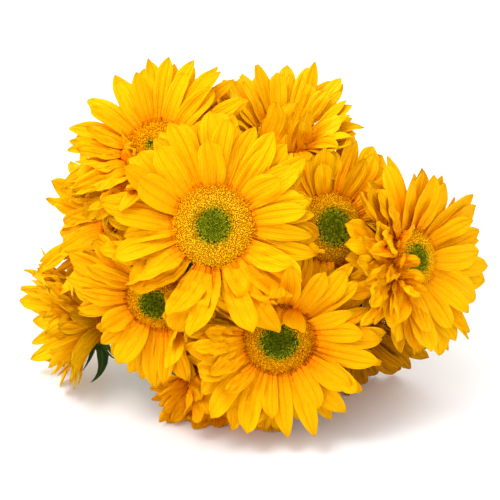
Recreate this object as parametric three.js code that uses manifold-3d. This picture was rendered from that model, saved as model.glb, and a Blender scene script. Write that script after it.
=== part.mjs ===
// A bunch of cut sunflowers lying down: twelve blooms pressed into a dome that tips up from the floor,
// each on a green calyx and a bare stem. Behind the dome the stems gather into a bundle on the floor.
// Millimetres, +Z up. The dome faces -Y, and the origin is on the floor under the middle of the bunch.
import * as THREE from "three";
import { mergeVertices } from "three/addons/utils/BufferGeometryUtils.js";
import Module from "manifold-3d";

const wasm = await Module();
wasm.setup();

// Whole bunch
const DOME_TIP = 32; // degrees that the dome's axis tips up from the floor
const DOME_HEIGHT = 138; // height of the dome's centre above the floor
const CLEAR = 0.3; // gap between neighbouring pieces

// Each head: its place across, up and back from the dome's centre, the way it faces (across, up and
// forward), its disc's radius, the reach from its centre to its longest tips, how many degrees its
// rays cup forward, and its place in the bundle, by column and row.
const HEADS = [
  { place: [-28, 14, 0], faces: [0, 0.04, 1], disc: 28, reach: 71, cup: 6, slot: [-0.5, 1] },
  { place: [15, -61, 22], faces: [0.05, -0.28, 0.95], disc: 24.5, reach: 65, cup: 8, slot: [1, 0] },
  { place: [105, -8, 38], faces: [0.68, 0, 0.73], disc: 21, reach: 66, cup: 12, slot: [1.5, 1] },
  { place: [50, 13, 28], faces: [0.45, 0.12, 0.87], disc: 24.5, reach: 68, cup: 10, slot: [0.5, 1] },
  { place: [-66, -36, 26], faces: [-0.28, -0.5, 0.82], disc: 22, reach: 63, cup: 12, slot: [-1, 0] },
  { place: [-69, 67, 34], faces: [-0.35, 0.5, 0.8], disc: 21, reach: 66, cup: 16, slot: [-1, 2] },
  { place: [20, 77, 58], faces: [0.12, 0.72, 0.66], disc: 20, reach: 57, cup: 42, slot: [1, 2] },
  { place: [-22, 79, 84], faces: [-0.1, 0.88, 0.42], disc: 20, reach: 54, cup: 32, slot: [0, 2] },
  { place: [-95, 25, 66], faces: [-0.86, 0.08, 0.45], disc: 20, reach: 58, cup: 28, slot: [-1.5, 1] },
  { place: [-27, -92, 60], faces: [-0.05, -0.76, 0.6], disc: 20, reach: 60, cup: 32, slot: [0, 0] },
  { place: [-116, -48, 94], faces: [-0.95, -0.14, 0.24], disc: 19, reach: 55, cup: 46, slot: [-2, 0] },
  { place: [66, -62, 78], faces: [0.35, -0.8, 0.45], disc: 20, reach: 58, cup: 28, slot: [2, 0] },
];

// Discs, along the axis of the head from the plane where the rays leave the disc
const DISC_RISE = 5;
const DISC_DEPTH = 6;
const DISC_SHOULDER = [0.62, 0.8]; // the shoulder's share of the radius and of the rise
const DISC_SIDES = 14;

// Calyxes, the green cups under the discs
const CALYX_DEPTH = 19;
const CALYX_LIP = 1.2; // how far the cup stands out past the disc
const CALYX_WAIST = [0.62, 0.58]; // the waist's share of the radius and of the depth
const CALYX_SIDES = 12;
const NECK_RADIUS = 6.2;

// Stems
const STEM_RADIUS = 4.3;
const STEM_SIDES = 8;
const STEM_STEPS = 10;
const BUNDLE_START = 205; // where the stems come together, behind the dome's centre
const STEM_END = 352; // where they are cut
const CUT_STAGGER = 9; // how far single cut ends lie before or behind that
const NECK_PULL = 60; // how far the stem of a head that faces forward keeps the head's own line
const BUNDLE_PULL = 108; // how far it keeps the line of the bundle
const BUNDLE_LIFT = 4; // how far it has risen that far before the bundle
const FAN = 1.5; // how much wider the bundle is there
const STEM_PITCH = 2 * STEM_RADIUS + 2 * CLEAR;

// Blades are the rays, the yellow petals round a disc, and the bracts, the green ones under them. A
// kind states its root, as a share of the disc's radius and a height, its length, width and thickness,
// its pitch and curl in degrees, and how much these vary. Its two layers lean apart. Its stations run
// from root to tip: how far along each one is, and its share of the width.
const RAYS = {
  count: 22,
  root: 0.74,
  height: -3,
  length: (head) => 0.95 * (head.reach - RAYS.root * head.disc),
  width: 17,
  thick: 1,
  pitch: (head) => head.cup,
  curl: -12,
  layerStep: 2,
  layerLean: 18,
  varies: { turn: 0.3, length: 0.08, width: 0.12, pitch: 5, curl: 14, twist: 16 },
  stations: [[0, 0], [0.36, 0.86], [0.78, 0.84], [1, 0]],
};
const BRACTS = {
  count: 8,
  root: 0.8,
  height: -9.4,
  length: () => 19,
  width: 8.5,
  thick: 0.9,
  pitch: () => -14,
  curl: -30,
  layerStep: 0,
  layerLean: 0,
  varies: { turn: 0.25, length: 0.12, width: 0.05, pitch: 8, curl: 20, twist: 0 },
  stations: [[0, 0], [0.35, 1], [0.7, 0.6], [1, 0]],
};

// The one long bract that hangs down in view, under the calyx of the head at that place in the list
const DROOPING = {
  head: 10,
  azimuth: -62,
  root: 0.7,
  height: -14,
  length: 29,
  width: 10,
  pitch: -42,
  curl: 36,
};

// What a blade that would meet a neighbour tries: other leans in degrees, then shorter lengths
const LEAN_TRIES = [0, -9, 9, -18, 18, -28, 28, 40, -38, 55, -50, 70];
const LENGTH_TRIES = [1, 0.84, 0.68];

// What the repeatable numbers start from for each property that varies
const SEEDS = { turn: 0, length: 20, width: 40, pitch: 140, curl: 160, twist: 180, cut: 7 };

const LOOKS = {
  bloom: { color: 0xffb908, roughness: 0.55, metalness: 0 },
  calyx: { color: 0x4d6b24, roughness: 0.7, metalness: 0 },
  stem: { color: 0x6f8f3c, roughness: 0.6, metalness: 0 },
};

const degrees = THREE.MathUtils.degToRad;

// The dome's own directions: across it, up its face, and back along its axis
const ACROSS = new THREE.Vector3(1, 0, 0);
const UP = new THREE.Vector3(0, Math.sin(degrees(DOME_TIP)), Math.cos(degrees(DOME_TIP)));
const BACK = new THREE.Vector3(0, Math.cos(degrees(DOME_TIP)), -Math.sin(degrees(DOME_TIP)));

// A repeatable number from -1 to 1 for each pair of whole numbers
function wobble(first, second) {
  const value = Math.sin(first * 12.9898 + second * 78.233 + 4.7) * 43758.5453;
  return 2 * (value - Math.floor(value)) - 1;
}

function each(count, make) {
  return Array.from({ length: count }, (_, index) => make(index));
}

// A head's own frame: z is the way it faces, and its origin is the middle of its disc
function headMatrix(head) {
  const [across, up, back] = head.place;
  const [right, high, forward] = head.faces;
  const center = new THREE.Vector3(0, 0, DOME_HEIGHT);
  center.addScaledVector(ACROSS, across).addScaledVector(UP, up).addScaledVector(BACK, back);
  const facing = ACROSS.clone().multiplyScalar(right);
  facing.addScaledVector(UP, high).addScaledVector(BACK, -forward).normalize();
  const east = ACROSS.clone().projectOnPlane(facing).normalize();
  const north = new THREE.Vector3().crossVectors(facing, east);
  return new THREE.Matrix4().makeBasis(east, north, facing).setPosition(center);
}

// Only the positions, with shared corners merged, as the solids need them
function bare(geometry) {
  geometry.deleteAttribute("normal");
  geometry.deleteAttribute("uv");
  return mergeVertices(geometry, 1e-4);
}

function toSolid(geometry) {
  const merged = bare(geometry);
  return new wasm.Manifold(new wasm.Mesh({
    numProp: 3,
    vertProperties: new Float32Array(merged.attributes.position.array),
    triVerts: new Uint32Array(merged.index.array),
  }));
}

function toGeometry(solid) {
  const mesh = solid.getMesh();
  const geometry = new THREE.BufferGeometry();
  geometry.setAttribute("position", new THREE.BufferAttribute(new Float32Array(mesh.vertProperties), 3));
  geometry.setIndex(new THREE.BufferAttribute(new Uint32Array(mesh.triVerts), 1));
  geometry.computeVertexNormals();
  return geometry;
}

// The one whole body: hollows that the joining sealed are filled, and loose scraps are dropped
function oneBody(solid) {
  return solid.decompose().reduce((best, body) => (body.volume() > best.volume() ? body : best));
}

function bladesOf(kind, head, number) {
  return each(kind.count, (index) => {
    const vary = (name) => kind.varies[name] * wobble(number, index + SEEDS[name]);
    const layer = index % 2 === 0 ? 0.5 : -0.5;
    return {
      azimuth: (2 * Math.PI * (index + vary("turn"))) / kind.count,
      root: head.disc * kind.root,
      height: kind.height + layer * kind.layerStep,
      length: kind.length(head) * (1 + vary("length")),
      width: kind.width * (1 + vary("width")),
      thick: kind.thick,
      pitch: degrees(kind.pitch(head) + layer * kind.layerLean + vary("pitch")),
      curl: degrees(kind.curl + vary("curl")),
      twist: degrees(vary("twist")),
    };
  });
}

function droopingBract(head) {
  return {
    azimuth: degrees(DROOPING.azimuth),
    root: head.disc * DROOPING.root,
    height: DROOPING.height,
    length: DROOPING.length,
    width: DROOPING.width,
    thick: BRACTS.thick,
    pitch: degrees(DROOPING.pitch),
    curl: degrees(DROOPING.curl),
    twist: 0,
  };
}

// A thin blade: a sphere of four sides drawn out along an arc, which leaves the root at the pitch and
// bends by the curl up to the tip. What would lie under the floor is lifted onto it. The margin is
// added all round, for finding out what the blade would meet.
function bladeGeometry(blade, stations, matrix, margin = 0) {
  const rings = stations.length - 1;
  const geometry = bare(new THREE.SphereGeometry(1, 4, rings, Math.PI / 4));
  const frame = matrix.clone().multiply(new THREE.Matrix4().makeRotationZ(blade.azimuth));
  const corners = geometry.attributes.position;
  const lowest = stations.map(() => 0);
  const points = each(corners.count, (index) => {
    const corner = new THREE.Vector3().fromBufferAttribute(corners, index);
    const ring = Math.round((Math.acos(THREE.MathUtils.clamp(corner.y, -1, 1)) / Math.PI) * rings);
    const [along, share] = stations[ring];
    const side = share > 0 ? Math.sign(corner.x) * ((blade.width * share) / 2 + margin) : 0;
    const face = share > 0 ? Math.sign(corner.z) * (blade.thick / 2 + margin) : 0;
    const reach = (blade.length + margin) * along;
    const pitch = blade.pitch + blade.curl * along;
    const chord = blade.pitch + (blade.curl * along) / 2;
    const lift = side * Math.sin(blade.twist * along) + face;
    const point = new THREE.Vector3(
      blade.root + reach * Math.cos(chord) - lift * Math.sin(pitch),
      side * Math.cos(blade.twist * along),
      blade.height + reach * Math.sin(chord) + lift * Math.cos(pitch),
    ).applyMatrix4(frame);
    lowest[ring] = Math.min(lowest[ring], point.z + margin);
    return { ring, point };
  });
  points.forEach(({ ring, point }, index) => {
    corners.setXYZ(index, point.x, point.y, point.z - lowest[ring]);
  });
  return geometry;
}

function lathe(profile, sides, matrix) {
  const points = profile.map(([radius, height]) => new THREE.Vector2(radius, height));
  const geometry = new THREE.LatheGeometry(points, sides);
  geometry.rotateX(Math.PI / 2);
  return toSolid(geometry.applyMatrix4(matrix));
}

function discSolid(head, matrix) {
  const [shoulder, shoulderRise] = DISC_SHOULDER;
  return lathe([
    [0, -DISC_DEPTH],
    [head.disc, -DISC_DEPTH],
    [head.disc, 0],
    [head.disc * shoulder, DISC_RISE * shoulderRise],
    [0, DISC_RISE],
  ], DISC_SIDES, matrix);
}

// Where a calyx starts under the disc, and its foot, where the stem meets it
const CALYX_TOP = -DISC_DEPTH - CLEAR;
const CALYX_FOOT = CALYX_TOP - CALYX_DEPTH;

function calyxCup(head, matrix) {
  const radius = head.disc + CALYX_LIP;
  const [waist, waistDepth] = CALYX_WAIST;
  return lathe([
    [0, CALYX_FOOT],
    [NECK_RADIUS, CALYX_FOOT],
    [radius * waist, CALYX_TOP - CALYX_DEPTH * waistDepth],
    [radius, CALYX_TOP],
    [0, CALYX_TOP],
  ], CALYX_SIDES, matrix);
}

// A stem leaves its calyx along the head's axis and bends into its own place in the bundle
function stemSolid(head, number, matrix) {
  const [column, row] = head.slot;
  const x = column * STEM_PITCH;
  const z = STEM_RADIUS + row * STEM_PITCH * Math.sin(Math.PI / 3);
  const top = CALYX_FOOT - CLEAR;
  const pull = NECK_PULL * head.faces[2];
  const neck = new THREE.Vector3(0, 0, top).applyMatrix4(matrix);
  const below = new THREE.Vector3(0, 0, top - pull).applyMatrix4(matrix);
  const before = new THREE.Vector3(x * FAN, BUNDLE_START - BUNDLE_PULL, z * FAN + BUNDLE_LIFT);
  const gathered = new THREE.Vector3(x, BUNDLE_START, z);
  const cut = new THREE.Vector3(x, STEM_END + CUT_STAGGER * wobble(number, SEEDS.cut), z);
  const path = new THREE.CurvePath();
  path.add(new THREE.CubicBezierCurve3(neck, below, before, gathered));
  path.add(new THREE.LineCurve3(gathered, cut));
  const section = new THREE.Shape(each(STEM_SIDES, (side) => {
    const angle = (2 * Math.PI * (side + 0.5)) / STEM_SIDES;
    return new THREE.Vector2(STEM_RADIUS * Math.cos(angle), STEM_RADIUS * Math.sin(angle));
  }));
  return toSolid(new THREE.ExtrudeGeometry(section, { steps: STEM_STEPS, extrudePath: path }));
}

// A solid that blades keep clear of, with the box round it
function obstacle(solid) {
  const { min, max } = solid.boundingBox();
  return { solid, box: new THREE.Box3(new THREE.Vector3(...min), new THREE.Vector3(...max)) };
}

function isClear(geometry, obstacles) {
  geometry.computeBoundingBox();
  const near = obstacles.filter(({ box }) => box.intersectsBox(geometry.boundingBox));
  const solid = toSolid(geometry);
  return near.every((one) => one.solid.intersect(solid).isEmpty());
}

// The first lean and length that fit between the neighbours, or nothing where none does
function bladeThatFits(blade, stations, matrix, obstacles) {
  for (const share of LENGTH_TRIES) {
    for (const lean of LEAN_TRIES) {
      const tried = { ...blade, length: blade.length * share, pitch: blade.pitch + degrees(lean) };
      if (isClear(bladeGeometry(tried, stations, matrix, CLEAR), obstacles)) {
        return toSolid(bladeGeometry(tried, stations, matrix));
      }
    }
  }
  return null;
}

// A core with all its blades that fit joined to it
function withBlades(core, blades, stations, matrix, obstacles) {
  const fitting = blades.map((blade) => bladeThatFits(blade, stations, matrix, obstacles));
  return oneBody(fitting.filter(Boolean).reduce((whole, blade) => whole.add(blade), core));
}

const heads = HEADS.map((head, number) => {
  const matrix = headMatrix(head);
  return {
    head,
    number,
    matrix,
    bloom: discSolid(head, matrix),
    calyx: calyxCup(head, matrix),
    stem: stemSolid(head, number, matrix),
  };
});

// Everything that a piece of one head keeps clear of, with the piece of its own head that it rests on
function neighbours(own, touching) {
  const others = heads.filter((one) => one !== own);
  const solids = [own.stem, touching, ...others.flatMap((one) => [one.stem, one.calyx, one.bloom])];
  return solids.map(obstacle);
}

for (const one of heads) {
  const bracts = bladesOf(BRACTS, one.head, one.number);
  if (one.number === DROOPING.head) {
    bracts.push(droopingBract(one.head));
  }
  one.calyx = withBlades(one.calyx, bracts, BRACTS.stations, one.matrix, neighbours(one, one.bloom));
}
for (const one of heads) {
  const rays = bladesOf(RAYS, one.head, one.number);
  one.bloom = withBlades(one.bloom, rays, RAYS.stations, one.matrix, neighbours(one, one.calyx));
}

const bunch = new THREE.Group();
for (const one of heads) {
  for (const [kind, looks] of Object.entries(LOOKS)) {
    const mesh = new THREE.Mesh(toGeometry(one[kind]), new THREE.MeshStandardMaterial(looks));
    mesh.name = `${kind}_${String(one.number + 1).padStart(2, "0")}`;
    bunch.add(mesh);
  }
}

// The origin goes under the middle of the bunch, on the floor
const box = new THREE.Box3().setFromObject(bunch);
const middle = box.getCenter(new THREE.Vector3());
bunch.position.set(-middle.x, -middle.y, -box.min.z);

export default bunch;
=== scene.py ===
# A bunch of twelve cut sunflowers lying on a pale floor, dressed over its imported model. It is in
# metres, with +Z up.
import math

import bpy
import numpy as np
from mathutils import Matrix, Vector
from mathutils.bvhtree import BVHTree


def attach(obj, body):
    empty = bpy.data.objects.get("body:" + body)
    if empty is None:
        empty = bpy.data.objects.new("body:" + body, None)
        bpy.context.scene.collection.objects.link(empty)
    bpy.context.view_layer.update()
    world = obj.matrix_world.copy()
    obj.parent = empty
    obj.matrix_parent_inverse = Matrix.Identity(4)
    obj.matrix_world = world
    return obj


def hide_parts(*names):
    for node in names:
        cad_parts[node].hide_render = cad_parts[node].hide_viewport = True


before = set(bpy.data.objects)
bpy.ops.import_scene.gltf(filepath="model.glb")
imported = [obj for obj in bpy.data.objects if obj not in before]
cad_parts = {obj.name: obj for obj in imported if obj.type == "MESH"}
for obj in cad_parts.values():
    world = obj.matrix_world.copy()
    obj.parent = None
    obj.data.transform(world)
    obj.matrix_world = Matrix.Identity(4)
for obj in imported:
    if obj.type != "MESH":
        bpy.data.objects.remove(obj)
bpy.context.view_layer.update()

# The bunch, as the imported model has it
DOME_TIP = math.radians(32)
DOME_HEIGHT = 0.138
ACROSS = Vector((1, 0, 0))
UP = Vector((0, math.sin(DOME_TIP), math.cos(DOME_TIP)))
BACK = Vector((0, math.cos(DOME_TIP), -math.sin(DOME_TIP)))

# Each head: its place across, up and back from the dome's centre, the way it faces, its disc's
# radius, the reach of its rays, how many degrees they cup forward and its place in the bundle of
# stems. Then how many rays it has, how broad they are, the seed of its random shapes, how many
# tones darker its rays are than the usual, which is painted shade where it is above 0 and painted
# light where it is below 0, the share of the disc that is still in bud (eye) and the side on which
# its rays are limp, in degrees round the disc.
# Its folded rays: the side they grow on, how far they spread to both sides of it, how many they
# are, how far they lean over the disc, their share of the reach and of the breadth, and how many
# tones darker they are painted, on top of the head's. Its uneven sides: the middle of each, its
# spread, and the share of their length that rays have there.
# Where given: how many tones browner its florets are, partly their own age and partly painted
# shade, and paler as painted light where it is below 0 (ripe), how many degrees its limp rays hang
# (sag), how loose they are (slack), the middles and half widths of the gaps where rays are lost,
# and whether its rays take the darker tones of painted shade (browned).
HEADS = [
    dict(place=(-0.028, 0.014, 0), faces=(0, 0.04, 1), disc=0.028, reach=0.072, cup=6,
         slot=(-0.5, 1), rays=72, broad=1.1, seed=21, tone_and_painted_light=0.15, ripe_and_painted_light=-0.8, eye=0.4, limp=-100,
         folds=[(-148, 8, 1, 26, 0.9, 1, 0), (-102, 3, 1, 8, 1.1, 1.15, 0),
                (-68, 3, 1, 6, 1.08, 1.1, 0)],
         uneven=[(-128, 15, 0.75), (0, 30, 0.94), (-42, 22, 0.9)],
         sag=10, slack=1.8, gaps=[(-120, 12), (-84, 8)]),
    dict(place=(0.015, -0.061, 0.022), faces=(0.05, -0.28, 0.95), disc=0.0245, reach=0.066, cup=6,
         slot=(1, 0), rays=70, broad=0.95, seed=22, tone_and_painted_light=0.7, ripe_and_painted_light=1.0, eye=0.47, limp=180,
         folds=[(62, 4, 1, 112, 0.62, 1, 0), (100, 8, 1, 100, 0.4, 1, 0),
                (192, 24, 4, 34, 0.9, 1, 0)],
         uneven=[(-60, 20, 1.06)], slack=1.6),
    dict(place=(0.105, -0.008, 0.038), faces=(0.68, 0, 0.73), disc=0.021, reach=0.068, cup=10,
         slot=(1.5, 1), rays=66, broad=1.12, seed=23, tone_and_painted_light=-0.2, eye=0.42, limp=180,
         folds=[(186, 50, 6, 70, 0.74, 0.6, 1.4), (204, 52, 4, 46, 0.82, 0.7, 1)],
         uneven=[(58, 34, 0.85), (-108, 38, 0.86), (180, 44, 0.74)]),
    dict(place=(0.05, 0.013, 0.028), faces=(0.45, 0.12, 0.87), disc=0.0245, reach=0.068, cup=10,
         slot=(0.5, 1), rays=60, broad=1.1, seed=24, tone_and_painted_light=0.0, eye=0.48, limp=-80, folds=[],
         uneven=[(180, 30, 0.86), (48, 28, 0.88), (110, 23, 0.6)], sag=16, gaps=[(-78, 6)]),
    dict(place=(-0.066, -0.036, 0.026), faces=(-0.28, -0.5, 0.82), disc=0.022, reach=0.064, cup=12,
         slot=(-1, 0), rays=62, broad=1.05, seed=25, tone_and_painted_light=0.9, ripe_and_painted_light=1.1, eye=0.46, limp=60,
         folds=[(30, 8, 1, 100, 0.6, 1, 0)],
         uneven=[(76, 28, 0.55), (8, 32, 0.55), (-150, 18, 0.66), (-118, 26, 0.9)]),
    dict(place=(-0.069, 0.067, 0.034), faces=(-0.35, 0.5, 0.8), disc=0.021, reach=0.067, cup=16,
         slot=(-1, 2), rays=68, broad=0.92, seed=26, tone_and_painted_light=0.0, ripe_and_painted_light=1.5, eye=0.12, limp=-140,
         folds=[(196, 40, 4, 96, 0.42, 0.9, 0), (205, 24, 3, 18, 0.8, 1, 0)],
         uneven=[(122, 24, 0.86), (178, 24, 0.9), (-45, 30, 0.7)]),
    dict(place=(0.02, 0.077, 0.058), faces=(0.12, 0.72, 0.66), disc=0.02, reach=0.056, cup=40,
         slot=(1, 2), rays=60, broad=1.0, seed=27, tone_and_painted_light=-1.8, eye=0.4, limp=-90,
         folds=[(-84, 70, 6, 116, 0.84, 1.15, 0), (-40, 30, 2, 70, 0.9, 1, 0)],
         uneven=[(10, 25, 0.86), (104, 24, 0.9), (-90, 22, 0.66)], sag=60, slack=0.5),
    dict(place=(-0.022, 0.079, 0.084), faces=(-0.1, 0.88, 0.42), disc=0.02, reach=0.056, cup=32,
         slot=(0, 2), rays=54, broad=1.0, seed=28, tone_and_painted_light=0.1, eye=0.4, limp=-90,
         folds=[(-90, 60, 10, 34, 0.95, 1, 0)], uneven=[]),
    dict(place=(-0.095, 0.025, 0.066), faces=(-0.86, 0.08, 0.45), disc=0.02, reach=0.059, cup=30,
         slot=(-1.5, 1), rays=60, broad=1.0, seed=29, tone_and_painted_light=-0.3, eye=0.4, limp=180,
         folds=[(226, 44, 7, 12, 1.04, 1, 0)], uneven=[(200, 44, 1.16)]),
    dict(place=(-0.027, -0.092, 0.06), faces=(-0.05, -0.76, 0.6), disc=0.02, reach=0.057, cup=42,
         slot=(0, 0), rays=58, broad=1.05, seed=30, tone_and_painted_light=2.2, eye=0.3, limp=90, folds=[],
         uneven=[(90, 40, 0.55), (186, 34, 0.66)]),
    dict(place=(-0.116, -0.048, 0.094), faces=(-0.95, -0.14, 0.24), disc=0.019, reach=0.059, cup=54,
         slot=(-2, 0), rays=60, broad=1.0, seed=31, tone_and_painted_light=-1.8, eye=0.4, limp=90, folds=[],
         uneven=[(-48, 40, 0.82)]),
    dict(place=(0.066, -0.062, 0.078), faces=(0.35, -0.8, 0.45), disc=0.02, reach=0.058, cup=28,
         slot=(2, 0), rays=58, broad=1.0, seed=32, tone_and_painted_light=1.5, eye=0.3, limp=90, folds=[],
         # its rays take the dark tones of painted shade
         uneven=[(290, 40, 0.9)], painted_shade=True),
]

# Longer bracts that hang from a calyx: the place of its head in the list, where they grow on it
# (their azimuth, their share of the disc's radius and their height), their size, and their pitch,
# curl and roll in degrees
HANGING_KEYS = ("head", "azimuth", "root", "height", "length", "width", "pitch", "curl", "roll")
HANGING = [
    (10, -66, 0.96, -0.007, 0.031, 0.0088, -24, 84, 74),
    (10, -94, 0.95, -0.008, 0.028, 0.005, 14, 16, 60),
    (2, 150, 0.92, -0.007, 0.036, 0.0045, 10, 4, 60),
    (2, 174, 0.92, -0.007, 0.034, 0.004, 4, 10, -50),
    (5, 222, 0.92, -0.008, 0.044, 0.0055, 2, -6, 60),
]

# Discs, calyxes and stems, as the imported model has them
DISC_RISE = 0.005
DISC_DEPTH = 0.006
CLEAR = 0.0003
CALYX_DEPTH = 0.019
CALYX_LIP = 0.0012
CALYX_TOP = -DISC_DEPTH - CLEAR
CALYX_FOOT = CALYX_TOP - CALYX_DEPTH
NECK_RADIUS = 0.0062
STEM_RADIUS = 0.0043
STEM_PITCH = 2 * STEM_RADIUS + 2 * CLEAR
BUNDLE_START = 0.205
STEM_END = 0.352
CUT_STAGGER = 0.009
CUT_SEED = 7
NECK_PULL = 0.06
BUNDLE_PULL = 0.108
BUNDLE_LIFT = 0.004
FAN = 1.5

# The photograph's frame: what one pixel spans at the dome, and where the dome's centre lies in it
PIXEL = 0.000667
PICTURE = 500
CENTER_PIXEL = (256, 247.5)
CAMERA_DISTANCE = 2.4
AIM_BACK = 0.04 # how far behind the dome's centre that span holds

# Rays, in four layers from the front: the share of the rays in each, how many degrees it leans
# forward, the share of the reach that it has, and its height on the disc's edge
RAY_LAYERS = [
    (0.16, 20, 0.78, -0.0008),
    (0.30, 10, 0.96, -0.0016),
    (0.30, 1, 1.0, -0.0028),
    (0.24, -9, 0.98, -0.0040),
]
FOLD_HEIGHT = 0.0002
FULL_REACH = 0.068 # the reach of a head whose rays are RAY_WIDTH broad
RAY_ROOT = 0.93
RAY_WIDTH = 0.0152
RAY_THICK = 0.0005
USUAL_SLACK = 1.4
RAY_ROWS = 15
HALF_COLUMNS = [0.24, 0.33, 0.42, 0.64, 0.86, 1]
RAY_COLUMNS = np.array([-column for column in reversed(HALF_COLUMNS)] + [0] + HALF_COLUMNS)
# Bracts, in two layers: how many there are, the share of the disc's radius that they grow at, their
# height under the disc, how many degrees they lean forward, and their length
BRACT_LAYERS = [(13, 0.88, -0.0085, 2, 0.019), (12, 0.74, -0.0125, -16, 0.021)]
BRACT_WIDTH = 0.0085
BRACT_THICK = 0.0007
BRACT_ROWS = 8
BRACT_COLUMNS = np.linspace(-1, 1, 7)

# How rays are fitted: how many shapes are drawn for each, of which the one that crosses least is
# kept, and how many degrees more it leans and what share of its length it keeps, until it is clear
RAY_DRAWS = 5
LEAN_TRIES = [0, -8, 8, -16, 16, -26, 26, 38, -36, 52, -48, 66]
LENGTH_TRIES = [1, 0.86, 0.72]
LEANING = 30 # how many degrees more make it curl over its own disc
LEAN_CURL = 1.6 # how many degrees it curls for each degree past that
TOO_MANY = 3 # touches with other heads at which a ray is left out

# The studio: the tent's light, how that rises upward and to the left, and the lamp's power
TENT_LIGHT = 1.07
TENT_SLOPE = UP * 0.5 - ACROSS * 0.16
KEY_POWER = 18

# Florets and buds: RAGGED, YOUNG_REACH and YOUNG_BED are shares of the disc's radius
FLORET_PITCH = 0.00105
FLORET_SIZE = 0.00096
FLORET_LEAN = 0.16
BUD_PITCH = 0.0011
BUD_SIZE = 0.001
PACKED = 0.87 # the share of a square of the pitch that each one takes
RAGGED = 0.055 # how unevenly they end
YOUNG_REACH = 0.19 # how far past the buds some florets are still green
YOUNG_BED = 0.07 # how far past the buds their bed is green

BRISTLE_SIZE = 0.0016
STEM_BRISTLES = 170
CUP_BRISTLES = 90
BARE_HEIGHT = 0.003 # no bristle grows as near to the floor as this
STALK_PARTS = 72
GOLDEN_ANGLE = math.pi * (3 - math.sqrt(5))


def wobble(first, second):
    """The source's repeatable number from -1 to 1 for each pair of whole numbers."""
    value = math.sin(first * 12.9898 + second * 78.233 + 4.7) * 43758.5453
    return 2 * (value - math.floor(value)) - 1


def stem_slot(head):
    """Where a head's stem lies in the bundle, across and up."""
    column, row = head["slot"]
    return column * STEM_PITCH, STEM_RADIUS + row * STEM_PITCH * math.sin(math.pi / 3)


def dome_center():
    """The dome's centre, at a known place from the cut end of the first stem."""
    corners = np.array([v.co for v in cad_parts["stem_01"].data.vertices])
    end = corners[corners[:, 1] > corners[:, 1].max() - 1e-5]
    cut = (end.min(axis=0) + end.max(axis=0)) / 2
    planned_y = STEM_END + CUT_STAGGER * wobble(0, CUT_SEED)
    return Vector((cut[0] - stem_slot(HEADS[0])[0], cut[1] - planned_y, DOME_HEIGHT))


CENTER = dome_center()


def head_matrix(head):
    """A head's own frame: z is the way it faces, and its origin is the middle of its disc."""
    across, up, back = head["place"]
    right, high, forward = head["faces"]
    facing = (ACROSS * right + UP * high - BACK * forward).normalized()
    east = (ACROSS - facing * ACROSS.dot(facing)).normalized()
    north = facing.cross(east)
    matrix = Matrix((east, north, facing)).transposed().to_4x4()
    matrix.translation = CENTER + ACROSS * across + UP * up + BACK * back
    return matrix


def label(number):
    return f"{number + 1:02d}"


# Finishes
class Value:
    """A socket of a material's nodes, on which sums can be written."""

    def __init__(self, tree, socket):
        self.tree, self.socket = tree, socket

    def maths(self, operation, *others):
        node = self.tree.nodes.new("ShaderNodeMath")
        node.operation = operation
        for entry, value in zip(node.inputs, (self, *others)):
            if isinstance(value, Value):
                self.tree.links.new(value.socket, entry)
            else:
                entry.default_value = value
        return Value(self.tree, node.outputs[0])

    def __add__(self, other):
        return self.maths("ADD", other)

    def __mul__(self, other):
        return self.maths("MULTIPLY", other)

    def __rsub__(self, other):
        return (self * -1) + other

    def __sub__(self, other):
        return self.maths("SUBTRACT", other)

    __radd__ = __add__
    __rmul__ = __mul__

    def sine(self):
        return self.maths("SINE")


def linear(code):
    """A colour like "ffbe00" as the numbers that a shader takes."""
    parts = [int(code[place:place + 2], 16) / 255 for place in (0, 2, 4)]
    red, green, blue = [
        part / 12.92 if part <= 0.04045 else ((part + 0.055) / 1.055) ** 2.4 for part in parts]
    return red, green, blue, 1


class Finish:
    """A material, with its Principled shader and the nodes that lead to it."""

    def __init__(self, name, color, roughness, **plain):
        self.material = bpy.data.materials.new(name)
        self.material.use_nodes = True
        self.tree = self.material.node_tree
        self.shader = self.tree.nodes["Principled BSDF"]
        self.shader.inputs["Base Color"].default_value = linear(color)
        self.shader.inputs["Roughness"].default_value = roughness
        for socket, value in plain.items():
            self.shader.inputs[socket.replace("_", " ")].default_value = value

    def node(self, kind, settings=(), **sockets):
        node = self.tree.nodes.new(kind)
        for setting, value in dict(settings).items():
            setattr(node, setting, value)
        for socket, value in sockets.items():
            self.feed(node, socket.replace("_", " "), value)
        return node

    def feed(self, node, socket, value):
        if isinstance(value, Value):
            value = value.socket
        if isinstance(value, bpy.types.NodeSocket):
            self.tree.links.new(value, node.inputs[socket])
        else:
            node.inputs[socket].default_value = value

    def place(self):
        return self.node("ShaderNodeTexCoord").outputs["Object"]

    def noise(self, scale):
        made = self.node("ShaderNodeTexNoise", Vector=self.place(), Scale=scale, Detail=3.0)
        return Value(self.tree, made.outputs["Fac"])

    def own(self, name):
        """The three numbers of a piece's own attribute."""
        vector = self.node("ShaderNodeAttribute", {"attribute_name": name}).outputs["Vector"]
        parts = self.node("ShaderNodeSeparateXYZ", Vector=vector).outputs
        return [Value(self.tree, part) for part in parts]

    def relief(self, height, depth):
        made = self.node("ShaderNodeBump", Strength=1.0, Distance=depth, Height=height)
        self.tree.links.new(made.outputs["Normal"], self.shader.inputs["Normal"])

    def rough(self, value):
        self.feed(self.shader, "Roughness", value)

    def mixed(self, share, first, second):
        made = self.node("ShaderNodeMix", {"data_type": "RGBA"})
        self.feed(made, "Factor", share)
        made.inputs[6].default_value = linear(first)
        made.inputs[7].default_value = linear(second)
        self.tree.links.new(made.outputs[2], self.shader.inputs["Base Color"])


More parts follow.
